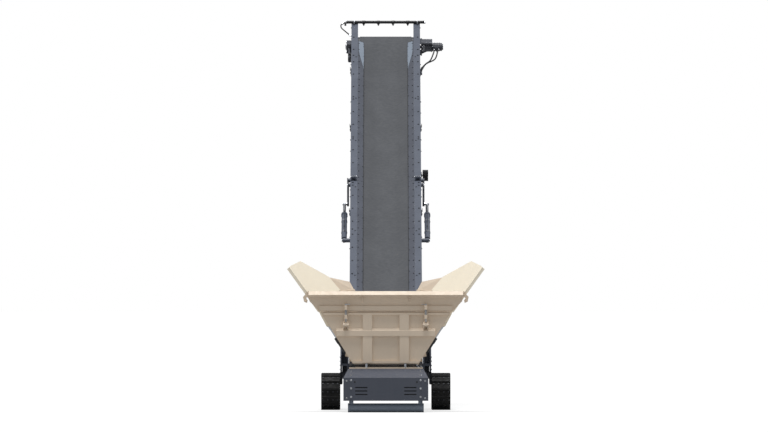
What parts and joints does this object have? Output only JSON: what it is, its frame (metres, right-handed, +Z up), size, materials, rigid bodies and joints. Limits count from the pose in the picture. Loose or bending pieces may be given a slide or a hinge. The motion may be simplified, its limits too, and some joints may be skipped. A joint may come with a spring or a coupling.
{
  "type": "tracked stockpiling conveyor",
  "caption": "Self-propelled folding belt conveyor on crawler tracks, with a feed hopper, folding hopper wings, a drop-down feed flap, a tail guard and a folding head section.",
  "frame": {"origin": "middle of the machine seen from above, on the ground", "axes": "+Z up, +Y along the conveyor from the feed end to the discharge end, +X to the right seen from the feed end"},
  "size_m": [3.761, 19.2058, 7.8265],
  "materials": {
    "belt_rubber": "matt rubber",
    "frame_paint": "satin grey-blue paint",
    "dark_steel": "satin dark paint",
    "hose_rubber": "semi-matt rubber",
    "signal_red": "gloss",
    "hopper_paint": "satin cream paint",
    "bright_steel": "polished",
    "track_rubber": "matt rubber",
    "cylinder_paint": "gloss black paint"
  },
  "bodies": {
    "undercarriage": {"chassis_frame": "dark_steel", "track_frame_left": "dark_steel", "track_frame_right": "dark_steel", "track_chain_left": "track_rubber", "track_chain_right": "track_rubber", "engine_canopy": "frame_paint", "diesel_engine": "dark_steel", "hydraulic_tank": "frame_paint", "control_cabinet": "dark_steel"},
    "emergency_stop": {"emergency_stop_button": "signal_red"},
    "main_boom": {"main_boom_frame": "frame_paint", "belt_tail_section": "belt_rubber", "skirt_tail_left": "frame_paint", "skirt_tail_right": "frame_paint", "hopper_body": "hopper_paint", "hopper_hose_rail": "hopper_paint", "tail_guard": "frame_paint", "tail_skid": "dark_steel"},
    "tail_drum": {"tail_drum": "dark_steel"},
    "feed_flap": {"feed_flap": "hopper_paint"},
    "head_boom": {"head_boom_frame": "frame_paint", "belt_head_section": "belt_rubber", "skirt_head_left": "frame_paint", "skirt_head_right": "frame_paint", "head_bearing": "dark_steel", "drive_motor": "dark_steel", "spray_bar": "dark_steel", "lamp_bracket": "dark_steel", "drive_hose_inner": "hose_rubber", "drive_hose_outer": "hose_rubber"},
    "head_drum": {"head_drum": "dark_steel"},
    "work_lamp": {"work_lamp": "dark_steel"},
    "feed_flap_lock_right": {"flap_lock_pin_right": "bright_steel"},
    "hopper_wing_right": {"hopper_wing_right": "hopper_paint"},
    "wing_barrel_right": {"wing_barrel_right": "cylinder_paint"},
    "wing_rod_right": {"wing_rod_right": "bright_steel"},
    "luff_barrel_right": {"luff_barrel_right": "frame_paint"},
    "luff_rod_right": {"luff_rod_right": "bright_steel"},
    "fold_rocker_right": {"fold_rocker_right": "dark_steel"},
    "fold_link_right": {"fold_link_right": "frame_paint"},
    "fold_barrel_right": {"fold_barrel_right": "frame_paint"},
    "fold_rod_right": {"fold_rod_right": "bright_steel"},
    "track_idler_right": {"track_idler_right": "dark_steel"},
    "track_sprocket_right": {"track_sprocket_right": "dark_steel"},
    "canopy_door_right": {"canopy_door_right": "frame_paint"},
    "feed_flap_lock_left": {"flap_lock_pin_left": "bright_steel"},
    "hopper_wing_left": {"hopper_wing_left": "hopper_paint"},
    "wing_barrel_left": {"wing_barrel_left": "cylinder_paint"},
    "wing_rod_left": {"wing_rod_left": "bright_steel"},
    "luff_barrel_left": {"luff_barrel_left": "frame_paint"},
    "luff_rod_left": {"luff_rod_left": "bright_steel"},
    "fold_rocker_left": {"fold_rocker_left": "dark_steel"},
    "fold_link_left": {"fold_link_left": "frame_paint"},
    "fold_barrel_left": {"fold_barrel_left": "frame_paint"},
    "fold_rod_left": {"fold_rod_left": "bright_steel"},
    "track_idler_left": {"track_idler_left": "dark_steel"},
    "track_sprocket_left": {"track_sprocket_left": "dark_steel"},
    "canopy_door_left": {"canopy_door_left": "frame_paint"}
  },
  "joints": [
    {"name": "conveyor_luff", "type": "hinge", "parent": "undercarriage", "child": "main_boom", "pos_m": [0, -4.1339, 1.85523], "axis": [1, 0, 0], "range_deg": [-9, 0]},
    {"name": "conveyor_fold", "type": "hinge", "parent": "main_boom", "child": "head_boom", "pos_m": [0, 0.67679, 4.55067], "axis": [1, 0, 0], "range_deg": [0, 165]},
    {"name": "head_drum_spin", "type": "hinge", "parent": "head_boom", "child": "head_drum", "pos_m": [0, 8.94491, 7.279], "axis": [1, 0, 0], "continuous": true},
    {"name": "tail_drum_spin", "type": "hinge", "parent": "main_boom", "child": "tail_drum", "pos_m": [0, -9.13286, 0.52], "axis": [1, 0, 0], "continuous": true},
    {"name": "feed_flap_tilt", "type": "hinge", "parent": "main_boom", "child": "feed_flap", "pos_m": [0, -9.13286, 1.66], "axis": [1, 0, 0], "range_deg": [0, 105]},
    {"name": "work_lamp_tilt", "type": "hinge", "parent": "head_boom", "child": "work_lamp", "pos_m": [0.75, 1.46335, 4.58852], "axis": [1, 0, 0], "range_deg": [-25, 25]},
    {"name": "emergency_stop_press", "type": "slide", "parent": "undercarriage", "child": "emergency_stop", "axis": [0, 1, 0], "range_m": [0, 0.006], "stiffness_N_per_m": 1200, "springref_m": -0.002},
    {"name": "fold_rocker_right", "type": "hinge", "parent": "main_boom", "child": "fold_rocker_right", "pos_m": [0.735, 0.60115, 4.3932], "axis": [1, 0, 0], "range_deg": [0, 79.93]},
    {"name": "fold_link_right", "type": "hinge", "parent": "head_boom", "child": "fold_link_right", "pos_m": [0.7555, 0.78675, 4.48502], "axis": [1, 0, 0], "range_deg": [-92.44, 0]},
    {"name": "fold_barrel_right", "type": "hinge", "parent": "main_boom", "child": "fold_barrel_right", "pos_m": [0.815, -2.12149, 3.28877], "axis": [1, 0, 0], "range_deg": [0, 2.38]},
    {"name": "fold_rod_right", "type": "slide", "parent": "fold_barrel_right", "child": "fold_rod_right", "axis": [0, 0.9644, 0.2644], "range_m": [0, 0.46952]},
    {"name": "luff_barrel_right", "type": "hinge", "parent": "undercarriage", "child": "luff_barrel_right", "pos_m": [0.45, -1.13286, 0.98], "axis": [1, 0, 0], "range_deg": [-13.16, 0]},
    {"name": "luff_rod_right", "type": "slide", "parent": "luff_barrel_right", "child": "luff_rod_right", "axis": [0, 0.5458, 0.8379], "range_m": [-0.45071, 0]},
    {"name": "wing_fold_right", "type": "hinge", "parent": "main_boom", "child": "hopper_wing_right", "pos_m": [1.26496, -9.00703, 1.88441], "axis": [0.135, -0.9794, -0.15], "range_deg": [0, 60]},
    {"name": "wing_barrel_right", "type": "hinge", "parent": "main_boom", "child": "wing_barrel_right", "pos_m": [0.7331, -8.62179, 1.09051], "axis": [0.135, -0.9794, -0.15], "range_deg": [-15.37, 0]},
    {"name": "wing_rod_right", "type": "slide", "parent": "wing_barrel_right", "child": "wing_rod_right", "axis": [0.5382, -0.0547, 0.8411], "range_m": [0, 0.22117]},
    {"name": "flap_lock_right", "type": "slide", "parent": "feed_flap", "child": "feed_flap_lock_right", "axis": [0, 0, 1], "range_m": [0, 0.085]},
    {"name": "track_sprocket_right", "type": "hinge", "parent": "undercarriage", "child": "track_sprocket_right", "pos_m": [1.07, -1.98286, 0.35], "axis": [1, 0, 0], "continuous": true},
    {"name": "track_idler_right", "type": "hinge", "parent": "undercarriage", "child": "track_idler_right", "pos_m": [1.07, -4.68286, 0.35], "axis": [1, 0, 0], "continuous": true},
    {"name": "canopy_door_right", "type": "hinge", "parent": "undercarriage", "child": "canopy_door_right", "pos_m": [0.654, -1.47286, 1.3], "axis": [0, 0, 1], "range_deg": [0, 110]},
    {"name": "fold_rocker_left", "type": "hinge", "parent": "main_boom", "child": "fold_rocker_left", "pos_m": [-0.735, 0.60115, 4.3932], "axis": [1, 0, 0], "range_deg": [0, 79.93]},
    {"name": "fold_link_left", "type": "hinge", "parent": "head_boom", "child": "fold_link_left", "pos_m": [-0.7555, 0.78675, 4.48502], "axis": [1, 0, 0], "range_deg": [-92.44, 0]},
    {"name": "fold_barrel_left", "type": "hinge", "parent": "main_boom", "child": "fold_barrel_left", "pos_m": [-0.815, -2.12149, 3.28877], "axis": [1, 0, 0], "range_deg": [0, 2.38]},
    {"name": "fold_rod_left", "type": "slide", "parent": "fold_barrel_left", "child": "fold_rod_left", "axis": [0, 0.9644, 0.2644], "range_m": [0, 0.46952]},
    {"name": "luff_barrel_left", "type": "hinge", "parent": "undercarriage", "child": "luff_barrel_left", "pos_m": [-0.45, -1.13286, 0.98], "axis": [1, 0, 0], "range_deg": [-13.16, 0]},
    {"name": "luff_rod_left", "type": "slide", "parent": "luff_barrel_left", "child": "luff_rod_left", "axis": [0, 0.5458, 0.8379], "range_m": [-0.45071, 0]},
    {"name": "wing_fold_left", "type": "hinge", "parent": "main_boom", "child": "hopper_wing_left", "pos_m": [-1.26496, -9.00703, 1.88441], "axis": [0.135, 0.9794, 0.15], "range_deg": [0, 60]},
    {"name": "wing_barrel_left", "type": "hinge", "parent": "main_boom", "child": "wing_barrel_left", "pos_m": [-0.7331, -8.62179, 1.09051], "axis": [0.135, 0.9794, 0.15], "range_deg": [-15.37, 0]},
    {"name": "wing_rod_left", "type": "slide", "parent": "wing_barrel_left", "child": "wing_rod_left", "axis": [-0.5382, -0.0547, 0.8411], "range_m": [0, 0.22117]},
    {"name": "flap_lock_left", "type": "slide", "parent": "feed_flap", "child": "feed_flap_lock_left", "axis": [0, 0, 1], "range_m": [0, 0.085]},
    {"name": "track_sprocket_left", "type": "hinge", "parent": "undercarriage", "child": "track_sprocket_left", "pos_m": [-1.07, -1.98286, 0.35], "axis": [1, 0, 0], "continuous": true},
    {"name": "track_idler_left", "type": "hinge", "parent": "undercarriage", "child": "track_idler_left", "pos_m": [-1.07, -4.68286, 0.35], "axis": [1, 0, 0], "continuous": true},
    {"name": "canopy_door_left", "type": "hinge", "parent": "undercarriage", "child": "canopy_door_left", "pos_m": [-0.654, -1.47286, 1.3], "axis": [0, 0, -1], "range_deg": [0, 110]}
  ],
  "couplings": [
    {"joint": "tail_drum_spin", "follows": "head_drum_spin", "ratio": 1},
    {"joint": "fold_rocker_right", "follows": "conveyor_fold", "ratio": 0.48436},
    {"joint": "fold_link_right", "follows": "conveyor_fold", "ratio": -0.56016},
    {"joint": "fold_barrel_right", "follows": "conveyor_fold", "ratio": 0.014357},
    {"joint": "fold_rod_right", "follows": "conveyor_fold", "m_per_rad": 0.16297},
    {"joint": "luff_barrel_right", "follows": "conveyor_luff", "ratio": 1.461},
    {"joint": "luff_rod_right", "follows": "conveyor_luff", "m_per_rad": 2.8681},
    {"joint": "wing_barrel_right", "follows": "wing_fold_right", "ratio": -0.25598},
    {"joint": "wing_rod_right", "follows": "wing_fold_right", "m_per_rad": 0.21101},
    {"joint": "track_idler_right", "follows": "track_sprocket_right", "ratio": 1},
    {"joint": "fold_rocker_left", "follows": "conveyor_fold", "ratio": 0.48436},
    {"joint": "fold_link_left", "follows": "conveyor_fold", "ratio": -0.56016},
    {"joint": "fold_barrel_left", "follows": "conveyor_fold", "ratio": 0.014357},
    {"joint": "fold_rod_left", "follows": "conveyor_fold", "m_per_rad": 0.16297},
    {"joint": "luff_barrel_left", "follows": "conveyor_luff", "ratio": 1.461},
    {"joint": "luff_rod_left", "follows": "conveyor_luff", "m_per_rad": 2.8681},
    {"joint": "wing_barrel_left", "follows": "wing_fold_left", "ratio": -0.25598},
    {"joint": "wing_rod_left", "follows": "wing_fold_left", "m_per_rad": 0.21101},
    {"joint": "track_idler_left", "follows": "track_sprocket_left", "ratio": 1}
  ]
}
